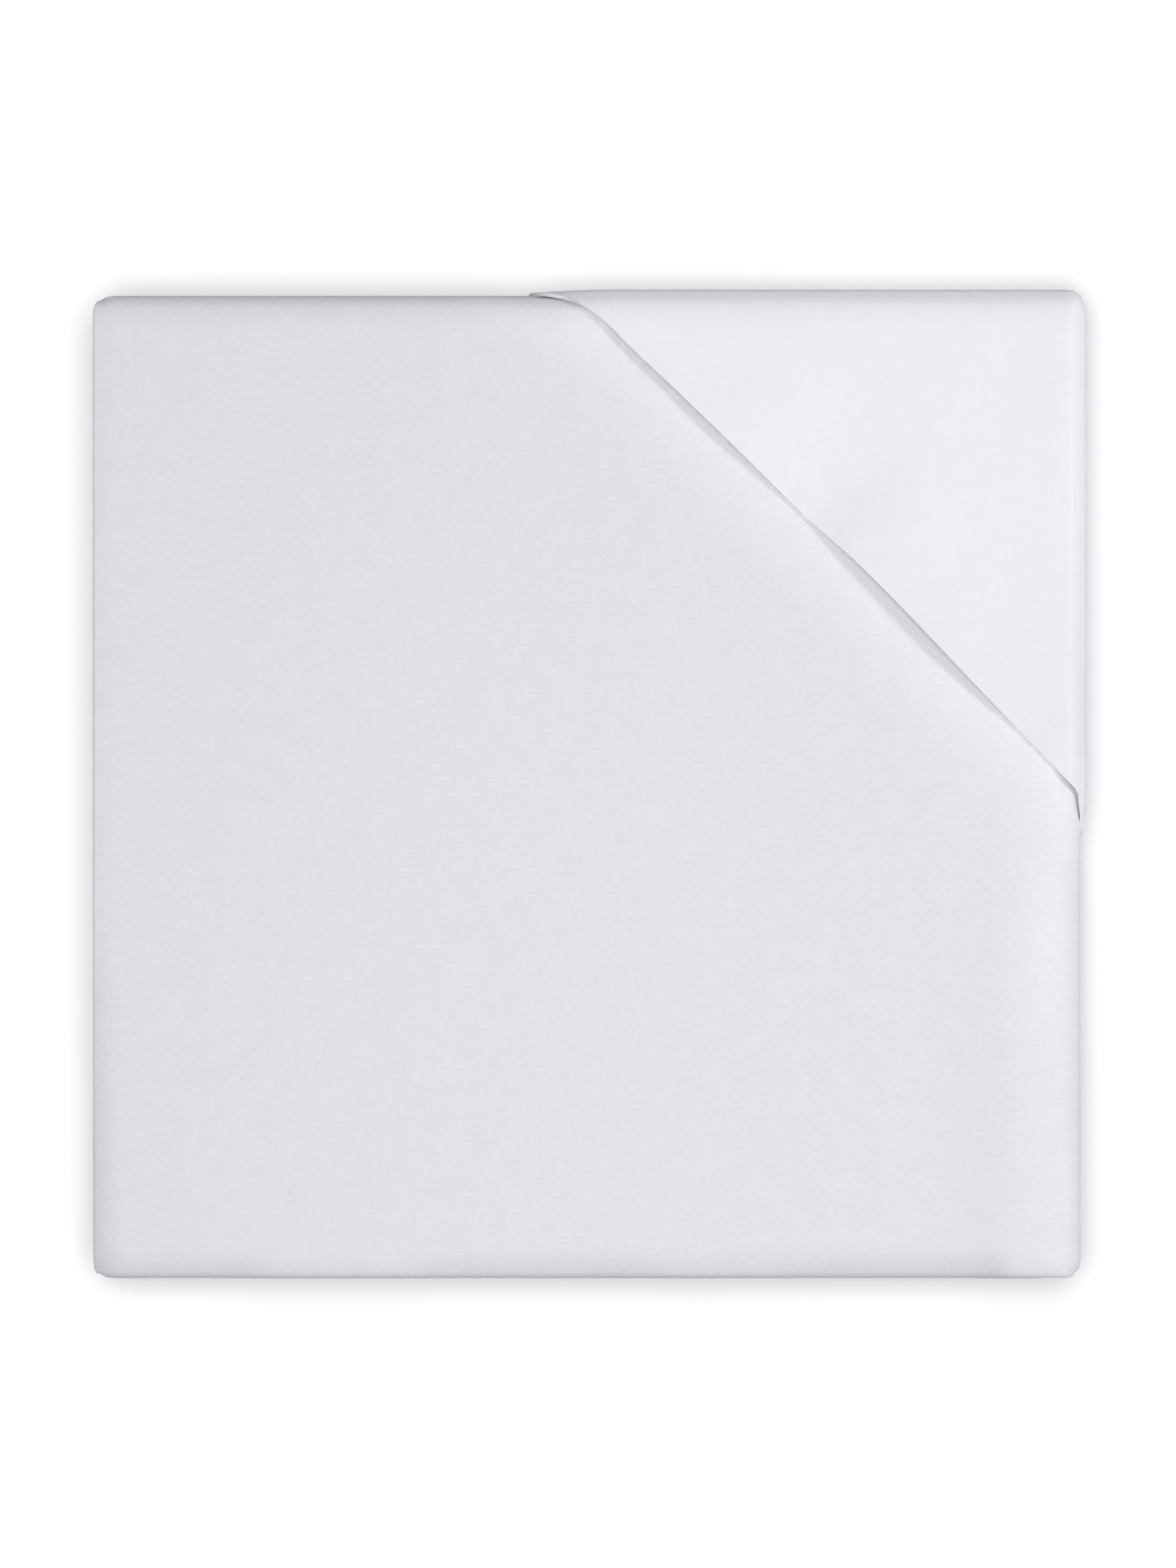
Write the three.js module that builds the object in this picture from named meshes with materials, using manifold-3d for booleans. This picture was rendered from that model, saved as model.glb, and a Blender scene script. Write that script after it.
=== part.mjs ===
// A waterproof sheet folded to a flat square bundle, in millimetres, +Z up.
// It is one length of soft backed cloth. It is folded back and forth to four plies across the
// bundle, and that band of plies is wrapped over to three layers. The corner pocket of the sheet
// is pulled over the back right corner of the bundle, and holds it shut.
// The origin is under the middle of the bundle. X runs to the right and Y to the back.
import * as THREE from "three";
import { mergeVertices } from "three/addons/utils/BufferGeometryUtils.js";
import Module from "manifold-3d";

// The cloth, and the air between its plies and layers
const PLY = 1.1;
const PLY_GAP = 0.35;
const LAYER_GAP = 0.45;

// The sides of the bundle, without the pocket
const LEFT = -125.2;
const RIGHT = 123.8;
const FRONT = -124.8;
const BACK = 123.5;

// What the folds work out to
const PLY_PITCH = PLY + PLY_GAP;
const BAND = 3 * PLY_PITCH + PLY;
const LAYER_PITCH = BAND + LAYER_GAP;
const HEIGHT = 2 * LAYER_PITCH + BAND;

// How far the cut edges and the inner folds stay back from the sides
const LOW_FOLD_BACK = 0.8;
const MIDDLE_LAYER_BACK = 1.5;
const INNER_HEM_BACK = 1.6;
const SECOND_HEM_BACK = 3.5;

// Radii of the four corners in plan
const CORNERS = [
  { name: "back left", sideX: -1, sideY: 1, radius: 4.5 },
  { name: "back right", sideX: 1, sideY: 1, radius: 6 },
  { name: "front left", sideX: -1, sideY: -1, radius: 2.2 },
  { name: "front right", sideX: 1, sideY: -1, radius: 4 },
];

// How the top comes down towards each side, over what width and how far, at places along the side
const SLOPES = {
  left: [
    { along: -124, width: 7.5, drop: 1.7 },
    { along: -60, width: 6.5, drop: 0.9 },
    { along: -28, width: 6, drop: 0.3 },
    { along: 125, width: 6, drop: 0.2 },
  ],
  right: [
    { along: -124, width: 14, drop: 0.9 },
    { along: -50, width: 20, drop: 1.7 },
    { along: 125, width: 18, drop: 1.5 },
  ],
  front: [
    { along: -124, width: 10, drop: 2.5 },
    { along: -66, width: 9, drop: 1.7 },
    { along: 0, width: 10, drop: 2.7 },
    { along: 22, width: 10, drop: 2.2 },
    { along: 78, width: 11, drop: 3.2 },
    { along: 124, width: 10, drop: 1.7 },
  ],
  back: [
    { along: -124, width: 9, drop: 2.8 },
    { along: -20, width: 9, drop: 3.2 },
    { along: 6, width: 9, drop: 1.8 },
    { along: 124, width: 9, drop: 1.7 },
  ],
};
// The top also falls a little towards the left, from a line in front of the middle
const CROWN = { from: -20, width: 105, drop: 1.2 };
// The top and bottom layers stay back from the front and back sides, most in the pocket
const SIDE_ROUND = 0.8;
const SIDE_ROUND_IN_POCKET = 2.1;
const SIDE_ROUND_WIDTH = 24;
const POCKET_GRIP_WIDTH = 12;

// The pocket: its sides, the half axes of its round edges, and its mouth
const POCKET_RIGHT = 125.2;
const POCKET_BACK = 124.9;
const POCKET_GAP = 0.35;
const POCKET_ROUND = new THREE.Vector3(9, 4.5, 8);
const POCKET_START = -32;
// The foot of the pocket lies within the bottom ply, so cloth and pocket are one piece
const POCKET_FOOT = 0.9;
const MOUTH = [
  { place: "on the back side", x: -14, y: 127 },
  { place: "over the back edge", x: -9, y: 123.9 },
  { place: "on the top", x: -0.9, y: 120.2 },
  { place: "first bow", x: 32.6, y: 88.6 },
  { place: "widest bow", x: 66.5, y: 57.1 },
  { place: "end of the bow", x: 109.6, y: 12.8 },
  { place: "over the right edge", x: 119.9, y: 1.6 },
  { place: "on the right side", x: 124, y: -4 },
  { place: "low on the right side", x: 127, y: -12 },
];
const MOUTH_STEPS = 6;
const MOUTH_LIFT = 0.6;
const MOUTH_LIFT_WIDTH = 14;

// The pocket presses the bundle down, most at the corner, and the top dips towards its mouth
const DIP = 2.2;
const DIP_WIDTH = 9;
const CORNER_DROP = { width: 80, drop: 1.2 };

// Stations along the straight runs, kept clear of the turns, and the segments of each turn
const STATIONS_X = [-121, -116, -60, -4, 40, 78, 104];
const STATIONS_Y = [-120, -115, -60, -4, 40, 78, 108, 116];
const STATION_CLEAR = 1;
const ROUTE_TURN = 12;
const LOW_TURN = 8;
const WIDE_TURN = 6;
const CLOSE_TURN = 4;

// Points this close together count as one when a surface is closed
const MERGE_DISTANCE = 1e-4;

const COLOUR = 0xe3e3e9;

// Points and inward normals along a line that runs back and forth. Each row is one straight run
// at its level, and a half circle joins it to the next.
function backAndForth(rows, stations) {
  const line = [];
  rows.forEach((row, index) => {
    const heading = Math.sign(row.to - row.from);
    const low = Math.min(row.from, row.to);
    const high = Math.max(row.from, row.to);
    const between = stations.filter((at) => at > low + STATION_CLEAR && at < high - STATION_CLEAR);
    if (heading < 0) between.reverse();
    const straight = [row.from, ...between, row.to];
    if (index > 0) straight.shift();
    for (const at of straight) {
      line.push({ along: at, level: row.level, normalAlong: 0, normalLevel: heading });
    }
    if (index === rows.length - 1) return;
    const next = rows[index + 1];
    const radius = (next.level - row.level) / 2;
    for (let step = 1; step <= row.turn; step++) {
      const angle = (Math.PI * step) / row.turn;
      line.push({
        along: row.to + heading * Math.abs(radius) * Math.sin(angle),
        level: row.level + radius * (1 - Math.cos(angle)),
        normalAlong: -Math.sign(radius) * Math.sin(angle),
        normalLevel: heading * Math.cos(angle),
      });
    }
  });
  return line;
}

// Across the bundle the cloth goes back and forth four times, with both hems in front
function crossFolds() {
  const backTurn = BACK - BAND / 2;
  const frontTurn = FRONT + PLY_PITCH / 2 + PLY / 2;
  const rows = [
    { ply: "inner", level: 1.5 * PLY_PITCH, from: FRONT + INNER_HEM_BACK, to: backTurn, turn: WIDE_TURN },
    { ply: "outer", level: -1.5 * PLY_PITCH, from: backTurn, to: frontTurn, turn: CLOSE_TURN },
    { ply: "second", level: -0.5 * PLY_PITCH, from: frontTurn, to: backTurn, turn: CLOSE_TURN },
    { ply: "third", level: 0.5 * PLY_PITCH, from: backTurn, to: FRONT + SECOND_HEM_BACK },
  ];
  return backAndForth(rows, STATIONS_Y);
}

// The route of the band: the middle layer, the bottom one, then over the right side to the top
function bandRoute() {
  const leftTurn = LEFT + LOW_FOLD_BACK + LAYER_PITCH / 2 + BAND / 2;
  const rightTurn = RIGHT - LAYER_PITCH - BAND / 2;
  const bottom = BAND / 2;
  const rows = [
    {
      layer: "middle",
      level: bottom + LAYER_PITCH,
      from: rightTurn - MIDDLE_LAYER_BACK,
      to: leftTurn,
      turn: LOW_TURN,
    },
    { layer: "bottom", level: bottom, from: leftTurn, to: rightTurn, turn: ROUTE_TURN },
    { layer: "top", level: bottom + 2 * LAYER_PITCH, from: rightTurn, to: LEFT },
  ];
  return backAndForth(rows, STATIONS_X);
}

const mouthLine = new THREE.SplineCurve(MOUTH.map((row) => new THREE.Vector2(row.x, row.y)));
const mouthPoints = mouthLine.getPoints(MOUTH_STEPS * (MOUTH.length - 1));

// Distance in plan from the mouth of the pocket, less than zero on the pocket's side of it
function mouthDistance(x, y) {
  let nearest = Infinity;
  let side = 1;
  for (let i = 1; i < mouthPoints.length; i++) {
    const start = mouthPoints[i - 1];
    const run = mouthPoints[i].clone().sub(start);
    const reach = new THREE.Vector2(x, y).sub(start);
    const share = THREE.MathUtils.clamp(reach.dot(run) / run.lengthSq(), 0, 1);
    const distance = reach.distanceTo(run.clone().multiplyScalar(share));
    if (distance < nearest) {
      nearest = distance;
      side = run.cross(reach) > 0 ? -1 : 1;
    }
  }
  return side * nearest;
}

// The width and drop of a slope at a place along its side, smoothly between two rows of its table
function slopeAt(rows, along) {
  const last = rows.length - 1;
  const next = THREE.MathUtils.clamp(rows.findIndex((row) => row.along >= along), 1, last);
  const before = rows[next - 1];
  const after = rows[next];
  const share = THREE.MathUtils.smoothstep(along, before.along, after.along);
  return {
    width: THREE.MathUtils.lerp(before.width, after.width, share),
    drop: THREE.MathUtils.lerp(before.drop, after.drop, share),
  };
}

// Height of the top of the bundle at a place in plan
function topHeight(x, y) {
  const sides = [
    { rows: SLOPES.left, along: y, inside: x - LEFT },
    { rows: SLOPES.right, along: y, inside: RIGHT - x },
    { rows: SLOPES.front, along: x, inside: y - FRONT },
    { rows: SLOPES.back, along: x, inside: BACK - y },
  ];
  let height = HEIGHT;
  for (const { rows, along, inside } of sides) {
    const { width, drop } = slopeAt(rows, along);
    height -= drop * THREE.MathUtils.clamp(1 - inside / width, 0, 1) ** 2;
  }
  height -= CROWN.drop * Math.max(0, (CROWN.from - x) / CROWN.width) ** 2;
  const away = mouthDistance(x, y);
  height -= DIP * Math.exp(-Math.max(0, away) / DIP_WIDTH);
  return height + (CORNER_DROP.drop * Math.min(0, away)) / CORNER_DROP.width;
}

// Rounds the corners in plan: a square corner is drawn in to a quarter circle
function roundCorners(point) {
  for (const { sideX, sideY, radius } of CORNERS) {
    const centreX = (sideX > 0 ? RIGHT : LEFT) - sideX * radius;
    const centreY = (sideY > 0 ? BACK : FRONT) - sideY * radius;
    const outX = (sideX * (point.x - centreX)) / radius;
    const outY = (sideY * (point.y - centreY)) / radius;
    if (outX <= 0 || outY <= 0) continue;
    const shrink = Math.max(outX, outY) / Math.hypot(outX, outY);
    point.x = centreX + (point.x - centreX) * shrink;
    point.y = centreY + (point.y - centreY) * shrink;
  }
}

// Draws the top and bottom layers in from the front and back sides
function roundSides(point) {
  const fromMiddle = point.z / (HEIGHT / 2) - 1;
  const grip = THREE.MathUtils.smoothstep(-mouthDistance(point.x, point.y), -POCKET_GRIP_WIDTH, 0);
  const inset = THREE.MathUtils.lerp(SIDE_ROUND, SIDE_ROUND_IN_POCKET, grip) * fromMiddle * fromMiddle;
  const front = Math.max(0, 1 - (point.y - FRONT) / SIDE_ROUND_WIDTH);
  const back = Math.max(0, 1 - (BACK - point.y) / SIDE_ROUND_WIDTH);
  point.y += inset * (front - back);
}

// Moves every vertex of a geometry by a function of its place
function reshape(geometry, move) {
  const position = geometry.attributes.position;
  const point = new THREE.Vector3();
  for (let i = 0; i < position.count; i++) {
    point.fromBufferAttribute(position, i);
    move(point);
    position.setXYZ(i, point.x, point.y, point.z);
  }
  return geometry;
}

// Turns the diagonals of a block's cells to run as the mouth does, to the right and the front, so
// that the facets of plies that lie on each other match. A cell is six entries of the index.
function turnDiagonals(geometry) {
  const { position } = geometry.attributes;
  const { index } = geometry;
  for (let cell = 0; cell < index.count; cell += 6) {
    const first = index.getX(cell);
    const second = index.getX(cell + 1);
    const third = index.getX(cell + 4);
    const fourth = index.getX(cell + 2);
    const runX = position.getX(fourth) - position.getX(second);
    const runY = position.getY(fourth) - position.getY(second);
    if (runX * runY <= 0) continue;
    [first, second, third, first, third, fourth].forEach((vertex, i) => index.setX(cell + i, vertex));
  }
  return geometry;
}

// The place beside a point of a line, moved off it along its normal
function beside(point, distance) {
  return [point.along + distance * point.normalAlong, point.level + distance * point.normalLevel];
}

// The cloth: a thin flat block with a cell for each step of both lines. It is folded across the
// bundle first, then along the route, and settled to the shape of the bundle.
function foldedCloth() {
  const folds = crossFolds();
  const route = bandRoute();
  const flat = new THREE.BoxGeometry(1, PLY, 1, folds.length - 1, 1, route.length - 1);
  reshape(flat, (point) => {
    const fold = folds[Math.round((point.x + 0.5) * (folds.length - 1))];
    const station = route[Math.round((point.z + 0.5) * (route.length - 1))];
    const [across, inward] = beside(fold, point.y);
    const [along, level] = beside(station, inward);
    point.set(along, across, level);
    roundSides(point);
    roundCorners(point);
    point.z *= topHeight(point.x, point.y) / HEIGHT;
  });
  return turnDiagonals(flat);
}

// A block with round edges on the right, back, top and bottom, which follows the top of the
// bundle. The pocket is what lies between an outer and an inner one. Each rounding has two facets.
function pocketBlock(outset, bottom) {
  const right = POCKET_RIGHT - PLY + outset;
  const back = POCKET_BACK - PLY + outset;
  const top = HEIGHT + POCKET_GAP + outset;
  const round = POCKET_ROUND.clone().addScalar(outset - PLY);
  const centreX = right - round.x;
  const centreY = back - round.y;
  const halfway = Math.tan(Math.PI / 8);
  const acrossRound = [0, halfway, 1];
  const [stationsX, stationsY] = [
    { straight: STATIONS_X, centre: centreX, reach: round.x },
    { straight: STATIONS_Y, centre: centreY, reach: round.y },
  ].map(({ straight, centre, reach }) => [
    POCKET_START,
    ...straight.filter((at) => at > POCKET_START),
    ...acrossRound.map((share) => centre + share * reach),
  ]);
  const lowCentre = bottom + round.z;
  const highCentre = top - round.z;
  const stationsZ = [
    ...acrossRound.map((share) => lowCentre - share * round.z).reverse(),
    ...acrossRound.map((share) => highCentre + share * round.z),
  ];
  const cells = [stationsX, stationsY, stationsZ].map((stations) => stations.length - 1);
  const block = new THREE.BoxGeometry(1, 1, 1, ...cells);
  reshape(block, (point) => {
    point.x = stationsX[Math.round((point.x + 0.5) * cells[0])];
    point.y = stationsY[Math.round((point.y + 0.5) * cells[1])];
    point.z = stationsZ[Math.round((point.z + 0.5) * cells[2])];
    const core = new THREE.Vector3(
      Math.min(point.x, centreX),
      Math.min(point.y, centreY),
      THREE.MathUtils.clamp(point.z, lowCentre, highCentre),
    );
    const out = point.clone().sub(core).divide(round);
    if (out.lengthSq() > 0) point.copy(out.normalize().multiply(round).add(core));
    const settle = topHeight(point.x, point.y) - HEIGHT;
    const away = Math.min(0, mouthDistance(point.x, point.y)) / MOUTH_LIFT_WIDTH;
    const lift = MOUTH_LIFT * Math.exp(-away * away);
    point.z += ((settle + lift) * Math.max(0, point.z - PLY)) / (HEIGHT - PLY);
  });
  return turnDiagonals(block);
}

// The upright block that the mouth of the pocket is cut to
function mouthBlock() {
  const beyond = 150;
  const outline = new THREE.Shape([
    ...mouthPoints,
    new THREE.Vector2(beyond, mouthPoints.at(-1).y),
    new THREE.Vector2(beyond, beyond),
    new THREE.Vector2(mouthPoints[0].x, beyond),
  ]);
  const block = new THREE.ExtrudeGeometry(outline, { depth: beyond, bevelEnabled: false });
  return block.translate(0, 0, -beyond / 2);
}

const wasm = await Module();
wasm.setup();

function solidOf(geometry) {
  const bare = geometry.clone();
  bare.deleteAttribute("normal");
  bare.deleteAttribute("uv");
  const merged = mergeVertices(bare, MERGE_DISTANCE);
  return new wasm.Manifold(
    new wasm.Mesh({
      numProp: 3,
      vertProperties: new Float32Array(merged.attributes.position.array),
      triVerts: new Uint32Array(merged.index.array),
    }),
  );
}

function geometryOf(solid) {
  const mesh = solid.getMesh();
  const geometry = new THREE.BufferGeometry();
  geometry.setAttribute("position", new THREE.BufferAttribute(mesh.vertProperties, 3));
  geometry.setIndex(new THREE.BufferAttribute(mesh.triVerts, 1));
  geometry.computeVertexNormals();
  return geometry;
}

const pocketWall = solidOf(pocketBlock(PLY, 0)).subtract(solidOf(pocketBlock(0, POCKET_FOOT)));
const pocket = pocketWall.intersect(solidOf(mouthBlock()));
const cloth = solidOf(foldedCloth()).add(pocket);

const sheet = new THREE.Mesh(
  geometryOf(cloth),
  new THREE.MeshStandardMaterial({ color: COLOUR, roughness: 0.95, metalness: 0 }),
);
sheet.name = "sheet";

const bundle = new THREE.Group();
bundle.add(sheet);

export default bundle;
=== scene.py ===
import math
import bpy
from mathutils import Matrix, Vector, noise


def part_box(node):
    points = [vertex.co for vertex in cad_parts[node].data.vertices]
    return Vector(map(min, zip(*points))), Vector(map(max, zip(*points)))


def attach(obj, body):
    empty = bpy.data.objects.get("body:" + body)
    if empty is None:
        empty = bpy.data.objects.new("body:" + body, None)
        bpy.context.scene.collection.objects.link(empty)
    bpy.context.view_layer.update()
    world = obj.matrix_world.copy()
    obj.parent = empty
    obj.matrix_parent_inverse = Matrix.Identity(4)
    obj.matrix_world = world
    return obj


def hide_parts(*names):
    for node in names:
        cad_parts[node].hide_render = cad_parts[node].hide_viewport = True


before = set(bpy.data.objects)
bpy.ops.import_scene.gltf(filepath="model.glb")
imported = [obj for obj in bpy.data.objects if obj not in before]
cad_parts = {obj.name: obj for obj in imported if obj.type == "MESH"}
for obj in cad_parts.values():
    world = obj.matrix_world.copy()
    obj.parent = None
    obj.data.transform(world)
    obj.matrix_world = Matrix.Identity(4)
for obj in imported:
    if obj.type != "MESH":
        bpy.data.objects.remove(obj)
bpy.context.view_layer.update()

# The sheet, folded. It is one cut length of soft cloth, brushed on its face and coated on its back.
# It is folded back and forth to four plies across the bundle, and that band of plies is wrapped
# over to three layers: the middle one, the bottom one, and the top one that comes over the right.
mm = 0.001
ply = 1.1 * mm
ply_gap = 0.35 * mm
ply_pitch = ply + ply_gap
band = 3 * ply_pitch + ply
layer_gap = 0.45 * mm
layer_pitch = band + layer_gap
height = 2 * layer_pitch + band
low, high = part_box("sheet")
pocket_stands_out = 1.4 * mm
left, right = low.x, high.x - pocket_stands_out
front, back = low.y, high.y - pocket_stands_out


def fold_line(runs):
    """A line that goes back and forth: straight runs, and the half turns that join them. A run has
    a level, a start and an end, and so many cells of cloth in it and in the turn after it."""
    stretches = []
    until = 0.0
    for run, following in zip(runs, [*runs[1:], None]):
        until += abs(run["end"] - run["start"])
        stretches.append({"run": run, "radius": None, "until": until, "cells": run["cells"]})
        if following:
            radius = (following["level"] - run["level"]) / 2
            until += math.pi * abs(radius)
            turn = {"run": run, "radius": radius, "until": until, "cells": run["turn_cells"]}
            stretches.append(turn)
    return stretches


# How much of the spacing of the rows in a straight run crowds them towards its ends
crowding = 0.75


def stations(line):
    """Distances along a line at which the cloth has its rows of points, closer near the turns."""
    places = [0.0]
    for stretch in line:
        start = places[-1]
        for step in range(1, stretch["cells"] + 1):
            share = step / stretch["cells"]
            if stretch["radius"] is None:
                crowded = 0.5 - 0.5 * math.cos(math.pi * share)
                share = (1 - crowding) * share + crowding * crowded
            places.append(start + (stretch["until"] - start) * share)
    return places


def place_on(line, distance, off):
    """The place at a distance along a line and off it, as the way along and the level."""
    start = 0.0
    for stretch in line:
        if distance <= stretch["until"] or stretch is line[-1]:
            break
        start = stretch["until"]
    run = stretch["run"]
    heading = math.copysign(1, run["end"] - run["start"])
    if stretch["radius"] is None:
        return run["start"] + heading * (distance - start), run["level"] + heading * off
    radius = stretch["radius"]
    angle = (distance - start) / abs(radius)
    outward = heading * abs(radius) - math.copysign(1, radius) * off
    along = run["end"] + outward * math.sin(angle)
    level = run["level"] + radius * (1 - math.cos(angle)) + heading * off * math.cos(angle)
    return along, level


back_turn = back - band / 2
front_turn = front + ply_pitch / 2 + ply / 2
inner_hem = front + 1.6 * mm
second_hem = front + 3.5 * mm
across = fold_line([
    # the inner ply, from its hem, and the wide turn of the band round the back
    {"level": 1.5 * ply_pitch, "start": inner_hem, "end": back_turn, "cells": 30, "turn_cells": 14},
    # the outer ply, and its close turn in front
    {"level": -1.5 * ply_pitch, "start": back_turn, "end": front_turn, "cells": 80, "turn_cells": 8},
    # the second ply, and its close turn inside the wide one
    {"level": -0.5 * ply_pitch, "start": front_turn, "end": back_turn, "cells": 30, "turn_cells": 6},
    # the third ply, up to the second hem
    {"level": 0.5 * ply_pitch, "start": back_turn, "end": second_hem, "cells": 30},
])

low_fold_inset = 0.8 * mm
low_fold = left + low_fold_inset + layer_pitch / 2 + band / 2
wide_fold = right - layer_pitch - band / 2
inner_cut_edge = wide_fold - 1.5 * mm
middle_level, bottom_level, top_level = band / 2 + layer_pitch, band / 2, band / 2 + 2 * layer_pitch
along = fold_line([
    # the middle layer, from the cut edge that lies inside, and the low fold at the left
    {"level": middle_level, "start": inner_cut_edge, "end": low_fold, "cells": 20, "turn_cells": 10},
    # the bottom layer, and the wide fold at the right
    {"level": bottom_level, "start": low_fold, "end": wide_fold, "cells": 20, "turn_cells": 26},
    # the top layer, up to the cut edge that shows at the left
    {"level": top_level, "start": wide_fold, "end": left, "cells": 80},
])


def new_grid(columns, rows):
    """A flat grid of so many columns and rows of points, each placed at its column and its row."""
    bpy.ops.object.select_all(action="DESELECT")
    bpy.ops.mesh.primitive_grid_add(x_subdivisions=columns - 1, y_subdivisions=rows - 1, size=2)
    grid = bpy.context.object
    for vertex in grid.data.vertices:
        column = round((vertex.co.x + 1) / 2 * (columns - 1))
        row = round((vertex.co.y + 1) / 2 * (rows - 1))
        vertex.co = (column, row, 0)
    return grid


def add_other_face(thickness):
    """Gives the new grid its other face, so far above it, and the sides between the two."""
    bpy.ops.object.mode_set(mode="EDIT")
    bpy.ops.mesh.select_all(action="SELECT")
    bpy.ops.mesh.extrude_region_move(TRANSFORM_OT_translate={"value": (0, 0, thickness)})
    bpy.ops.mesh.select_all(action="DESELECT")
    bpy.ops.object.mode_set(mode="OBJECT")


# The cloth lies flat first, at its cut size, with its cut edges rounded.
rows_along, rows_across = stations(along), stations(across)
cut_length, cut_width = rows_along[-1], rows_across[-1]
cut_edge_rounding = 0.3 * mm
tolerance = 0.01 * mm
cloth = new_grid(len(rows_along), len(rows_across))
for vertex in cloth.data.vertices:
    column, row = round(vertex.co.x), round(vertex.co.y)
    vertex.co = (rows_along[column], rows_across[row], -ply / 2)
add_other_face(ply)
bpy.ops.object.mode_set(mode="EDIT")
bpy.ops.mesh.select_all(action="SELECT")
bpy.ops.mesh.normals_make_consistent(inside=False)
bpy.ops.mesh.select_all(action="DESELECT")
bpy.ops.object.mode_set(mode="OBJECT")


def on_cut_edge(point):
    """True for a point of the flat cloth that lies on one of its four cut edges."""
    return min(point.x, cut_length - point.x, point.y, cut_width - point.y) < tolerance


for edge in cloth.data.edges:
    ends = [cloth.data.vertices[i].co for i in edge.vertices]
    level = abs(ends[0].z - ends[1].z) < tolerance
    middle = (ends[0] + ends[1]) / 2
    edge.select = level and on_cut_edge(middle)
bpy.ops.object.mode_set(mode="EDIT")
bpy.ops.mesh.select_mode(type="EDGE")
bpy.ops.mesh.bevel(offset=cut_edge_rounding, segments=2, affect="EDGES")
bpy.ops.mesh.select_mode(type="VERT")
bpy.ops.object.mode_set(mode="OBJECT")

# Its weave follows the cloth, so its texture map is the flat cut, in metres.
flat_map = cloth.data.uv_layers[0]
flat_map.name = "flat cloth"
for loop in cloth.data.loops:
    flat_map.data[loop.index].uv = cloth.data.vertices[loop.vertex_index].co.xy

# Then it is folded across, and the band of plies is folded along.
for vertex in cloth.data.vertices:
    x, y, off = vertex.co
    depth, inward = place_on(across, y, off)
    side, level = place_on(along, x, inward)
    vertex.co = (side, depth, level)

# How the bundle has settled, in millimetres. The pocket presses it down along its mouth and grips
# its corner, its top slopes to the sides, and the pocket's mouth stands a little off it in places.
mouth_rows = (
    # x, y, how deep the top is pressed, how far the mouth stands off
    (-17.0, 129.5, 1.2, 0.0),
    (-8.5, 124.8, 1.9, 0.0),
    (-0.9, 120.3, 2.4, 0.3),
    (10.1, 110.0, 3.0, 1.2),
    (21.3, 99.4, 2.9, 1.5),
    (32.5, 88.6, 2.7, 1.7),
    (43.5, 77.8, 2.6, 0.7),
    (54.4, 67.0, 2.5, -0.1),
    (65.9, 56.8, 2.6, 1.8),
    (76.9, 45.9, 2.9, 2.6),
    (87.6, 34.7, 3.0, 2.7),
    (98.3, 23.5, 2.9, 1.5),
    (109.1, 12.4, 2.6, -0.2),
    (119.6, 1.0, 2.0, -0.2),
    (124.0, -4.5, 1.5, -0.1),
    (128.0, -13.0, 1.0, 0.0),
)
pressed_in_corner = 2.7 * mm
mouth_reach = 50 * mm


def through(points, steps):
    """Points on a smooth curve through the given ones, with so many steps between each two."""
    ends = [2 * points[0] - points[1], *points, 2 * points[-1] - points[-2]]
    curve = []
    for a, b, c, d in zip(ends, ends[1:], ends[2:], ends[3:]):
        for step in range(steps):
            t = step / steps
            curve.append(0.5 * (2 * b + t * (c - a) + t * t * (2 * a - 5 * b + 4 * c - d)
                                + t * t * t * (3 * b - a - 3 * c + d)))
    return [*curve, points[-1]]


def held(share):
    """A share, held between none and all."""
    return max(0.0, min(1.0, share))


def eased(share):
    """A share, held between none and all, that starts and ends slowly."""
    share = held(share)
    return share * share * (3 - 2 * share)


mouth_curve = through([Vector(row[:2]) * mm for row in mouth_rows], steps=4)
mouth_shape = through([Vector(row[2:]) * mm for row in mouth_rows], steps=4)
mouth_chord = (mouth_curve[-1] - mouth_curve[0]).normalized()


def from_mouth(x, y):
    """Distance in plan from the mouth, less than zero on the pocket's side, then how deep the top
    is pressed there and how far the mouth stands off it at the nearest place."""
    place = Vector((x, y))
    from_chord = (place - mouth_curve[0]).cross(mouth_chord)
    if abs(from_chord) > mouth_reach:
        return from_chord, pressed_in_corner, 0.0
    nearest = (math.inf, 0.0, 0.0)
    for i, (start, end) in enumerate(zip(mouth_curve, mouth_curve[1:])):
        run, reach = end - start, place - start
        share = held(reach.dot(run) / run.length_squared)
        distance = (reach - share * run).length
        if distance < abs(nearest[0]):
            side = -1 if run.cross(reach) > 0 else 1
            nearest = (side * distance, *mouth_shape[i].lerp(mouth_shape[i + 1], share))
    away, pressed_at_mouth, stands_off = nearest
    far = eased(abs(away) / mouth_reach)
    return away, pressed_at_mouth + (pressed_in_corner - pressed_at_mouth) * far, stands_off


# How the top comes down towards each side: over what width and how far, at places along the side
slopes = {
    # along the side, width, drop, all in millimetres
    "left": (
        (-124, 7.5, 1.7), (-95, 7, 1.4), (-60, 6.5, 0.9), (-28, 6, 0.3), (125, 6, 0.2),
    ),
    "right": (
        (-124, 14, 0.7), (-95, 18, 1.2), (-50, 22, 3.2), (-20, 22, 3.3), (-8, 20, 2.2),
        (16, 12, 0.7), (62, 12, 0.5), (90, 9, 0.3), (125, 9, 0.3),
    ),
    "front": (
        (-124, 9, 4.2), (-95, 9, 4.4), (-78, 7, 2.6), (-55, 7, 2.6), (-38, 9, 4.6), (0, 10, 5.0),
        (22, 9, 4.0), (40, 10, 4.4), (58, 10, 5.4), (97, 10, 5.4), (107, 8, 2.6), (124, 8, 2.4),
    ),
    "back": (
        (-124, 9, 2.8), (-60, 9, 3.2), (-20, 9, 3.2), (6, 9, 1.8), (124, 9, 1.7),
    ),
}


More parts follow.
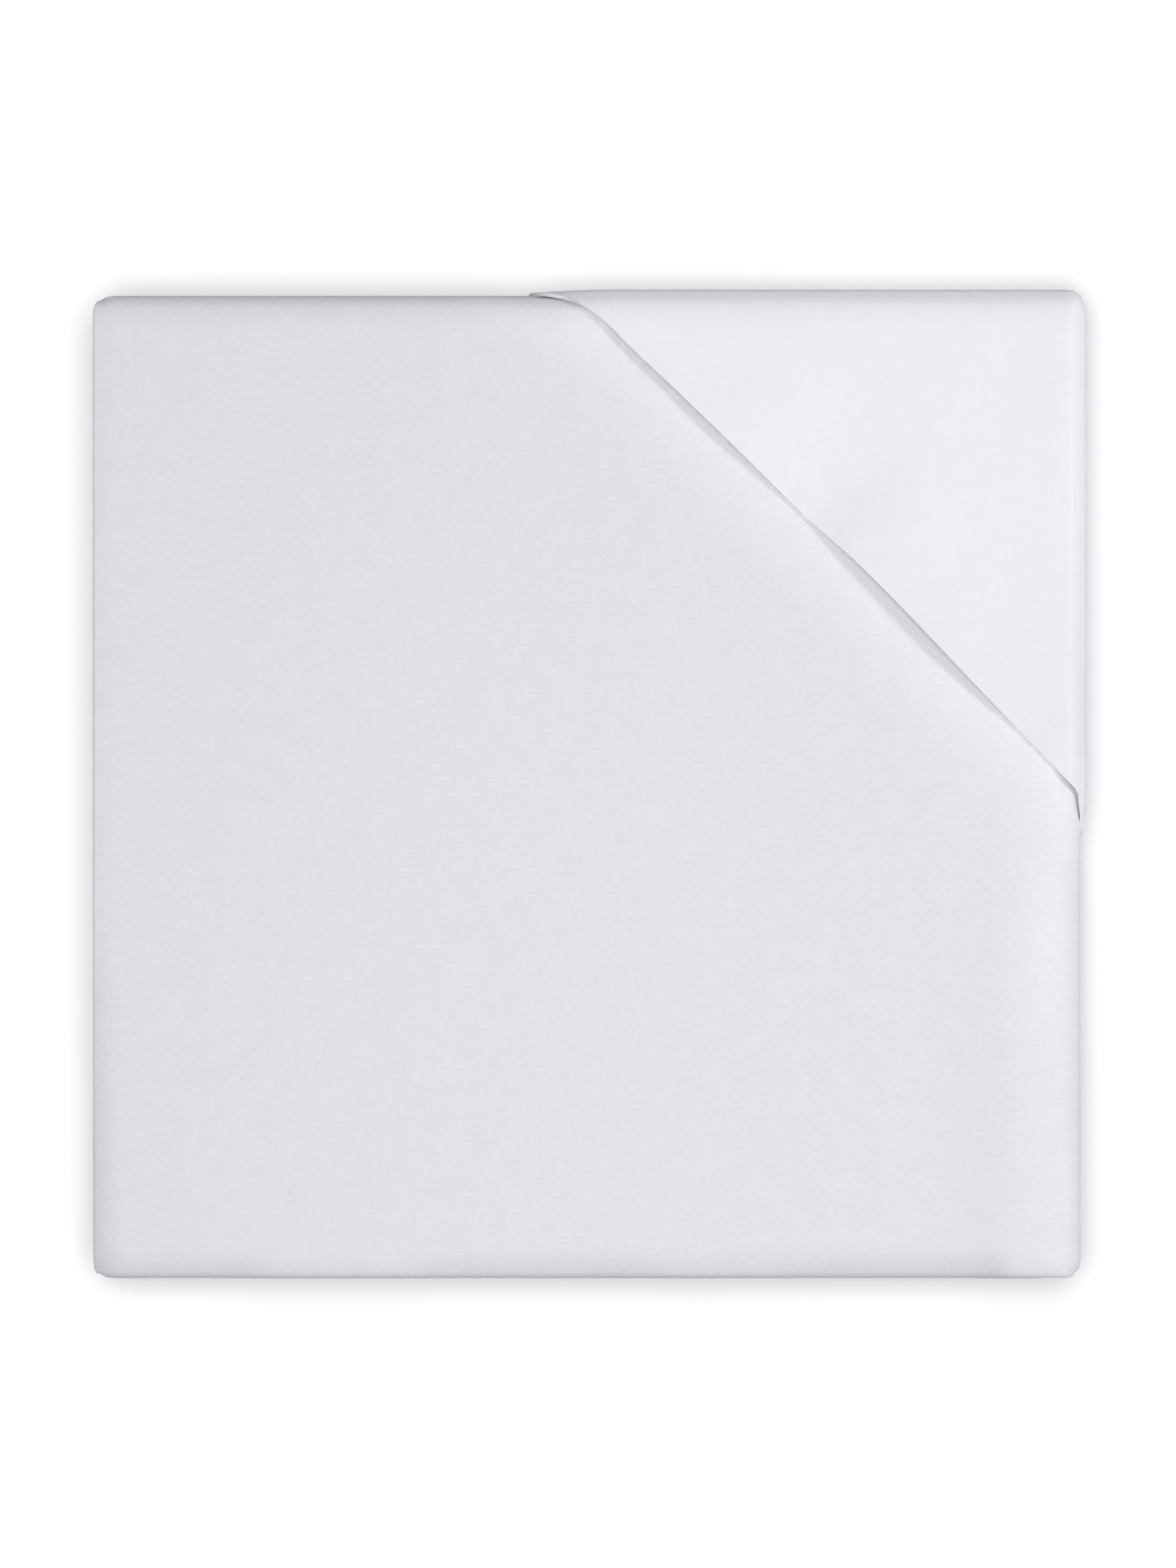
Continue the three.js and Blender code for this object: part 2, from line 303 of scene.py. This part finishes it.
def between(rows, at):
    """The values of a table at a place between two of its rows, which it joins smoothly."""
    at = max(rows[0][0], min(rows[-1][0], at / mm))
    for before, after in zip(rows, rows[1:]):
        if at <= after[0]:
            break
    share = eased((at - before[0]) / (after[0] - before[0]))
    return [a + (b - a) * share for a, b in zip(before[1:], after[1:])]


# Soft forms in the top: an old crease, a trough beside the rolled right side, and waves in the pocket
soft_forms = (
    # x, y, degrees from the x axis, half length, half width, height, all else in millimetres
    (-51, 82, 88.5, 42, 4, 0.06),
    (-44.5, -80, 90, 36, 4, 0.06),
    (106, -92, 91, 44, 10, 1.1),
    (86, -96, 91, 38, 9, -0.15),
    (82, 68, 70, 13, 10, 0.6),
    (50, 97, 60, 15, 11, 0.5),
    (104, 46, 70, 14, 9, -0.4),
    (104, 101, 80, 12, 8, -0.3),
)


def soft_form(x, y):
    """The height of the soft forms together at a place."""
    total = 0.0
    for middle_x, middle_y, turn, half_length, half_width, form in soft_forms:
        reach = Vector((x, y)) / mm - Vector((middle_x, middle_y))
        lengthwise = Vector((math.cos(math.radians(turn)), math.sin(math.radians(turn))))
        out_along, out_across = reach.dot(lengthwise), reach.cross(lengthwise)
        shape = (out_along / half_length) ** 2 + (out_across / half_width) ** 2
        total += form * mm * math.exp(-shape)
    return total


# The top also falls off towards the left from near its middle, has long low waves all over, dips
# towards the mouth of the pocket, and sinks a little towards the corner that the pocket grips.
fall_from, fall_width, fall_drop = -20 * mm, 105 * mm, 1.2 * mm
wave_height, wave_length = 0.12 * mm, 22 * mm
dip_width = 9 * mm
corner_drop, corner_drop_width = 1.2 * mm, 80 * mm


def top_change(x, y, away, dip):
    """How much higher the top of the bundle is than in the middle, at a place so far from the
    mouth that the pocket presses so deep."""
    sides = {
        "left": (y, x - left), "right": (y, right - x),
        "front": (x, y - front), "back": (x, back - y),
    }
    change = 0.0
    for side, (place, inside) in sides.items():
        width, drop = between(slopes[side], place)
        change -= drop * mm * held(1 - inside / (width * mm)) ** 2
    change -= fall_drop * max(0.0, (fall_from - x) / fall_width) ** 2
    change += wave_height * noise.noise(Vector((x, y, 0)) / wave_length) + soft_form(x, y)
    change -= dip * math.exp(-max(0.0, away) / dip_width)
    return change + corner_drop * min(0.0, away) / corner_drop_width


corner_radii = (
    # side in x, side in y, radius in millimetres
    (-1, 1, 4.5),
    (1, 1, 6),
    (-1, -1, 3.6),
    (1, -1, 4.4),
)
grip_width = 12 * mm
side_round, side_round_in_pocket = 0.8 * mm, 2.1 * mm
side_round_width = 24 * mm


def settle(point):
    """Moves a point of the squarely folded cloth to where it has settled."""
    away, dip, _ = from_mouth(point.x, point.y)
    grip = eased(1 - away / grip_width)
    from_middle = point.z / (height / 2) - 1
    inset = (side_round + (side_round_in_pocket - side_round) * grip) * from_middle ** 2
    in_front = max(0.0, 1 - (point.y - front) / side_round_width)
    behind = max(0.0, 1 - (back - point.y) / side_round_width)
    point.y += inset * (in_front - behind)
    for side_x, side_y, radius in corner_radii:
        centre_x = (right if side_x > 0 else left) - side_x * radius * mm
        centre_y = (back if side_y > 0 else front) - side_y * radius * mm
        out_x = side_x * (point.x - centre_x) / (radius * mm)
        out_y = side_y * (point.y - centre_y) / (radius * mm)
        if out_x > 0 and out_y > 0:
            shrink = max(out_x, out_y) / math.hypot(out_x, out_y)
            point.x = centre_x + (point.x - centre_x) * shrink
            point.y = centre_y + (point.y - centre_y) * shrink
    point.z *= 1 + top_change(point.x, point.y, away, dip) / height
    return point


for vertex in cloth.data.vertices:
    vertex.co = settle(vertex.co.copy())

# The pocket. It is the corner of the same sheet, turned over the back right corner of the bundle.
# It rises from the bottom ply, and its mouth runs over the top from the back to the right side.
pocket_right, pocket_back = high.x, high.y
pocket_gap = 0.35 * mm
foot_from_floor = 0.05 * mm
foot_ply = 0.8 * mm
# How far its rounding reaches inward and down, and how round it is: 2 is round, 1 is straight
reach_right, down_right, crease_right = 4.2 * mm, 6.6 * mm, 1.25
reach_back, down_back, crease_back = 4.8 * mm, 5.6 * mm, 2.0

# Places on its sides, with heights that count up to its top at side_top
side_top = 18.3
side_stations = through([Vector(row) * mm for row in (
    # inward, height; the mouth's x on the back side, and its y on the right side, in millimetres
    (16, 0, -16, -15),
    (5, 0, -16, -15),
    (0, 0, -16, -14.4),
    (0, 6, -15, -12.5),
    (0, 12.5, -12.5, -8.2),
    (0, 16, -9.8, -4.2),
    (0, side_top, -7, -2.4),
)], steps=3)
top_stations = through([Vector(row) * mm for row in (
    # x, y of the mouth on the top, in millimetres
    (-6, 123.8), (-3.4, 121.6), (-0.9, 119.9), (4.2, 116.0), (10.1, 110.0), (21.3, 99.4),
    (32.5, 88.6), (43.5, 77.8), (54.4, 67.0), (65.9, 56.8), (76.9, 45.9), (87.6, 34.7),
    (98.3, 23.5), (109.1, 12.4), (115.3, 6.0), (120.9, 0.2), (124.4, -2.2),
)], steps=5)

# Its rows of points, as shares of the way from the mouth to the corner, closer at both ends
lip_shares = [0, 0.004, 0.012, 0.024, 0.04]
corner_shares = [0.9, 0.915, 0.93, 0.943, 0.955, 0.965, 0.974, 0.982, 0.989, 0.995, 1]
middle_rows = 30
middle_width = corner_shares[0] - lip_shares[-1]
shares = [*lip_shares]
for step in range(1, middle_rows):
    shares.append(lip_shares[-1] + middle_width * step / middle_rows)
shares += corner_shares

side_columns = len(side_stations)
columns = side_columns * 2 + len(top_stations)
pocket = new_grid(columns, len(shares))
add_other_face(1)

# Its back half and its right half meet at the corner, so the rim of the cloth there comes out.
last_row = len(shares) - 1
for face in pocket.data.polygons:
    face.select = all(pocket.data.vertices[i].co.y > last_row - 0.5 for i in face.vertices)
bpy.ops.object.mode_set(mode="EDIT")
bpy.ops.mesh.delete(type="ONLY_FACE")
bpy.ops.object.mode_set(mode="OBJECT")


def square_faces(off):
    """The right side, back side, foot and top of the pocket while it is square, so far off its
    inner face."""
    right_side = pocket_right - ply + off
    back_side = pocket_back - ply + off
    foot = foot_from_floor + (ply - off) * foot_ply / ply
    top = height + pocket_gap + off
    return right_side, back_side, foot, top


def off_face(place, side, rounding, off):
    """A place along one axis on the outer face, moved in to where the cloth is only so thick."""
    core = side - rounding
    return place if place < core else core + (place - core) * (rounding - ply + off) / rounding


def on_square_pocket(column, share, off):
    """A place of the pocket while it is square: its column, its share of the way from the mouth to
    the corner, and how far it lies off the inner face."""
    right_side, back_side, foot, top = square_faces(off)
    if side_columns <= column < columns - side_columns:
        x, y = top_stations[column - side_columns]
        x = off_face(x, pocket_right, reach_right, off)
        y = off_face(y, pocket_back, reach_back, off)
        start, corner = Vector((x, y, top)), Vector((right_side, back_side, top))
    else:
        on_back = column < side_columns
        station = side_stations[column if on_back else columns - 1 - column]
        inward, level, on_back_x, on_right_y = station
        z = foot + (top - foot) * level / (side_top * mm)
        corner = Vector((right_side - inward, back_side - inward, z))
        if on_back:
            start = Vector((on_back_x, back_side - inward, z))
        else:
            start = Vector((right_side - inward, on_right_y, z))
    return start.lerp(corner, share)


def on_flat_cloth(column, point, off):
    """Where a place of the square pocket lies on the flat cloth, with the two sides laid out."""
    top = square_faces(off)[3]
    if column < side_columns:
        return Vector((point.x, point.y + top - point.z))
    if column >= columns - side_columns:
        return Vector((point.x + top - point.z, point.y))
    return point.xy


def rounded(point, off):
    """A place of the square pocket, drawn in to the rounding of its sides and its top."""
    right_side, back_side, foot, top = square_faces(off)
    thinner = ply - off
    past_right = max(0.0, point.x - (right_side - reach_right + thinner))
    past_back = max(0.0, point.y - (back_side - reach_back + thinner))
    to_right = past_right ** 2 / (past_right ** 2 + past_back ** 2) if past_right or past_back else 0.5
    down = down_back + (down_right - down_back) * to_right - thinner
    crease = crease_back + (crease_right - crease_back) * to_right
    core_level = max(foot + down, min(top - down, point.z))
    out = Vector((
        past_right / (reach_right - thinner),
        past_back / (reach_back - thinner),
        (point.z - core_level) / down,
    ))
    if out.length == 0:
        return point
    out /= sum(abs(o) ** crease for o in out) ** (1 / crease)
    return Vector((
        point.x - past_right + (reach_right - thinner) * out.x,
        point.y - past_back + (reach_back - thinner) * out.y,
        core_level + down * out.z,
    ))


# Both ends of the mouth lean in a little, where it comes down over the back and the right side.
mouth_lean, lean_depth = 0.6 * mm, 20 * mm
mouth_end_back, mouth_end_right = -13 * mm, -11 * mm
lean_width_back, lean_width_right = 9 * mm, 5 * mm


def leaned(point, off):
    """A place of the rounded pocket, leaned in where it is near an end of the mouth."""
    right_side, back_side, _, _ = square_faces(off)
    from_back_end = max(0.0, point.x - mouth_end_back)
    from_right_end = max(0.0, point.y - mouth_end_right)
    lean_back = mouth_lean * math.exp(-(from_back_end / lean_width_back) ** 2)
    lean_right = mouth_lean * math.exp(-(from_right_end / lean_width_right) ** 2)
    point.y -= lean_back * held(1 - (back_side - point.y) / lean_depth)
    point.x -= lean_right * held(1 - (right_side - point.x) / lean_depth)
    return point


# How far back from the mouth the lip stands off the top with it
lip_width = 22 * mm
pocket_places = []
for vertex in pocket.data.vertices:
    column, row, off = round(vertex.co.x), round(vertex.co.y), vertex.co.z * ply
    point = on_square_pocket(column, shares[row], off)
    pocket_places.append(on_flat_cloth(column, point, off))
    point = leaned(rounded(point, off), off)
    away, dip, stands_off = from_mouth(point.x, point.y)
    stands_off *= math.exp(-((min(0.0, away) / lip_width) ** 2))
    change = top_change(point.x, point.y, away, dip) + stands_off
    point.z += change * max(0.0, point.z - ply) / (height - ply)
    vertex.co = point
pocket_map = pocket.data.uv_layers[0]
pocket_map.name = "flat cloth"
for loop in pocket.data.loops:
    pocket_map.data[loop.index].uv = pocket_places[loop.vertex_index]
merged_within = 0.002 * mm
bpy.ops.object.mode_set(mode="EDIT")
bpy.ops.mesh.select_all(action="SELECT")
bpy.ops.mesh.remove_doubles(threshold=merged_within)
bpy.ops.mesh.normals_make_consistent(inside=False)
bpy.ops.object.mode_set(mode="OBJECT")

# The pocket and the folded cloth are one piece, joined in the bottom ply.
cloth.data.materials.append(bpy.data.materials.new("brushed face"))
cloth.data.materials.append(bpy.data.materials.new("smooth face"))
for material in cloth.data.materials:
    pocket.data.materials.append(material)
for face in pocket.data.polygons:
    face.material_index = 1
bpy.ops.object.select_all(action="DESELECT")
bpy.context.view_layer.objects.active = cloth
cloth.select_set(True)
join = cloth.modifiers.new("pocket", "BOOLEAN")
join.operation = "UNION"
join.object = pocket
join.solver = "EXACT"
bpy.ops.object.modifier_apply(modifier=join.name)
bpy.data.objects.remove(pocket)
cloth.name = "folded_sheet"
bpy.ops.object.shade_smooth_by_angle(angle=math.radians(50))

# The finish. The face is brushed lengthwise to a short nap, and the pocket shows the smoother side.
# Near the mouth and on the roll at the right the face is painted a little lighter, a painted
# highlight, and towards its right end the pocket is painted a little greyer, a painted shade.
painted_highlight_by_mouth = 12.5 * mm
roll_x, roll_y = 115.5 * mm, -36 * mm
roll_half_width, roll_half_length, painted_highlight_on_roll = 6 * mm, 24 * mm, 0.6
pocket_end_y, pocket_end_width = 20 * mm, 36 * mm
# Painted light: a painted highlight by the mouth and on the roll, and painted shade towards the
# pocket's right end.
painted_light = cloth.data.attributes.new("painted_light", "FLOAT", "POINT")
for vertex in cloth.data.vertices:
    x, y, _ = vertex.co
    away, _, _ = from_mouth(x, y)
    by_mouth = math.exp(-(away / painted_highlight_by_mouth) ** 2)
    off_roll = ((x - roll_x) / roll_half_width) ** 2 + ((y - roll_y) / roll_half_length) ** 2
    on_roll = painted_highlight_on_roll * math.exp(-off_roll)
    painted_shade_at_pocket_end = math.exp(-((y - pocket_end_y) / pocket_end_width) ** 2)
    painted_light.data[vertex.index].value = max(by_mouth, on_roll) if away > 0 else painted_shade_at_pocket_end

faces_of_cloth = (
    # slot, colour, colour where light or shade is painted on, hairs in a metre along and across,
    # and how much the tone of the nap varies
    # the brushed face's second colour is lighter, a painted highlight; the smooth face's is greyer, a
    # painted shade
    (0, (0.695, 0.691, 0.721), (0.755, 0.750, 0.783), (560, 1250, 1), 0.026),
    (1, (0.777, 0.772, 0.805), (0.738, 0.733, 0.764), (600, 600, 1), 0.010),
)
clouds_in_a_metre, cloud_tone = 170, 0.01
nap_height, nap_strength = 0.05 * mm, 0.3
for slot, colour, colour_with_painted_light, hairs, nap_tone in faces_of_cloth:
    weave = cloth.data.materials[slot]
    weave.use_nodes = True
    nodes, links = weave.node_tree.nodes, weave.node_tree.links
    surface = nodes["Principled BSDF"]
    surface.inputs["Roughness"].default_value = 0.95
    surface.inputs["Specular IOR Level"].default_value = 0.15
    surface.inputs["Sheen Weight"].default_value = 0.12
    surface.inputs["Sheen Roughness"].default_value = 0.5

    # This mixes in the painted light: a painted highlight on the brushed face, painted shade on the
    # pocket.
    painted_light_node = nodes.new("ShaderNodeAttribute")
    painted_light_node.attribute_name = "painted_light"
    ground = nodes.new("ShaderNodeMix")
    ground.data_type = "RGBA"
    ground.inputs["A"].default_value = (*colour, 1)
    ground.inputs["B"].default_value = (*colour_with_painted_light, 1)
    links.new(painted_light_node.outputs["Fac"], ground.inputs["Factor"])

    flat_place = nodes.new("ShaderNodeUVMap")
    flat_place.uv_map = "flat cloth"
    hair_size = nodes.new("ShaderNodeMapping")
    hair_size.inputs["Scale"].default_value = hairs
    links.new(flat_place.outputs["UV"], hair_size.inputs["Vector"])
    nap = nodes.new("ShaderNodeTexNoise")
    nap.inputs["Scale"].default_value = 1
    nap.inputs["Detail"].default_value = 3
    links.new(hair_size.outputs["Vector"], nap.inputs["Vector"])
    cloud = nodes.new("ShaderNodeTexNoise")
    cloud.inputs["Scale"].default_value = clouds_in_a_metre
    cloud.inputs["Detail"].default_value = 2
    links.new(flat_place.outputs["UV"], cloud.inputs["Vector"])

    for name, pattern, tone in (("nap", nap, nap_tone), ("cloud", cloud, cloud_tone)):
        shade = nodes.new("ShaderNodeMapRange")
        shade.label = name
        shade.inputs["From Min"].default_value = 0.3
        shade.inputs["From Max"].default_value = 0.7
        shade.inputs["To Min"].default_value = 1 - tone
        shade.inputs["To Max"].default_value = 1 + tone
        links.new(pattern.outputs["Fac"], shade.inputs["Value"])
        tinted = nodes.new("ShaderNodeMix")
        tinted.data_type = "RGBA"
        tinted.blend_type = "MULTIPLY"
        tinted.clamp_result = False
        tinted.inputs["Factor"].default_value = 1
        links.new(ground.outputs["Result"], tinted.inputs["A"])
        links.new(shade.outputs["Result"], tinted.inputs["B"])
        ground = tinted
    links.new(ground.outputs["Result"], surface.inputs["Base Color"])

    bump = nodes.new("ShaderNodeBump")
    bump.inputs["Strength"].default_value = nap_strength
    bump.inputs["Distance"].default_value = nap_height
    links.new(nap.outputs["Fac"], bump.inputs["Height"])
    links.new(bump.outputs["Normal"], surface.inputs["Normal"])

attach(cloth, "root")
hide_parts("sheet")

# The floor. It is a plain white table, far larger than the sheet, and a hair's breadth below it.
# The cloth gathers no light from it: the glow of the room below the horizon stands in for that.
table_size = 12
table_below = 0.2 * mm
bpy.ops.mesh.primitive_plane_add(size=table_size, location=(0, 0, -table_below))
floor = bpy.context.object
floor.name = "floor"
paint = bpy.data.materials.new("white table")
paint.use_nodes = True
surface = paint.node_tree.nodes["Principled BSDF"]
surface.inputs["Base Color"].default_value = (0.93, 0.93, 0.93, 1)
surface.inputs["Roughness"].default_value = 0.9
surface.inputs["Specular IOR Level"].default_value = 0.1
floor.data.materials.append(paint)
floor.visible_diffuse = False

# The light. A soft box hangs over the cloth and another stands to the right of it. A wide light
# from above keeps the table white, and leans in a little from the left, so that the sheet's shadow
# is stronger at its right. Each is kept off what it isn't meant to light.
cloth_alone = bpy.data.collections.new("lit by the soft boxes")
cloth_alone.objects.link(cloth)
table_alone = bpy.data.collections.new("lit by the table light")
table_alone.objects.link(floor)
soft_boxes = (
    # name, place, size of its side, watts, colour
    ("overhead box", (0.05, -0.1, 1.2), 0.7, 11.0, (1, 1, 1)),
    ("side box", (1.87, 0, 1.17), 0.45, 17.2, (0.96, 0.95, 1)),
)
for name, place, side, watts, colour in soft_boxes:
    bpy.ops.object.light_add(type="AREA", location=place)
    box = bpy.context.object
    box.name = name
    box.data.shape = "SQUARE"
    box.data.size = side
    box.data.energy = watts
    box.data.color = colour
    box.rotation_euler = Vector(place).to_track_quat("Z", "Y").to_euler()
    box.light_linking.receiver_collection = cloth_alone
bpy.ops.object.light_add(type="SUN", location=(0, 0, 2.4))
table_light = bpy.context.object
table_light.name = "table light"
table_light.data.angle = math.radians(84)
table_light.data.energy = 2.96
table_light.rotation_euler = (0, math.radians(-5), 0)
table_light.light_linking.receiver_collection = table_alone

# The room. It glows faintly from above, and more from below the horizon, where it stands in for
# the light that a white table throws back at the sides of the sheet.
room_colour = (0.985, 0.98, 1)
room_glow = (
    # from straight down, 0, over the horizon, 0.5, to straight up, and how bright it is there
    (0.0, 0.15),
    (0.49, 1.05),
    (0.52, 0.22),
    (1.0, 0.22),
)
room = bpy.data.worlds.new("room")
room.use_nodes = True
nodes, links = room.node_tree.nodes, room.node_tree.links
toward = nodes.new("ShaderNodeTexCoord")
height_toward = nodes.new("ShaderNodeSeparateXYZ")
links.new(toward.outputs["Generated"], height_toward.inputs["Vector"])
upward = nodes.new("ShaderNodeMapRange")
upward.inputs["From Min"].default_value = -1
links.new(height_toward.outputs["Z"], upward.inputs["Value"])
glow = nodes.new("ShaderNodeValToRGB")
links.new(upward.outputs["Result"], glow.inputs["Fac"])
links.new(glow.outputs["Color"], nodes["Background"].inputs["Color"])
while len(glow.color_ramp.elements) < len(room_glow):
    glow.color_ramp.elements.new(0.5)
for stop, (direction, brightness) in zip(glow.color_ramp.elements, room_glow):
    stop.position = direction
    stop.color = (*(part * brightness for part in room_colour), 1)
bpy.context.scene.world = room
bpy.context.scene.view_settings.view_transform = "Standard"

# The camera. It looks straight down on the sheet through a long lens, as in the photo, whose
# whole height at the sheet is the frame's.
camera_distance = 2.0
frame_height = 0.396
look_at = Vector((-0.6, 0.1, 9)) * mm
bpy.ops.object.camera_add(location=look_at + Vector((0, 0, camera_distance)))
camera = bpy.context.object
camera.data.sensor_width = 36
camera.data.lens = camera.data.sensor_width * camera_distance / frame_height
camera.data.clip_end = 20
bpy.context.scene.camera = camera
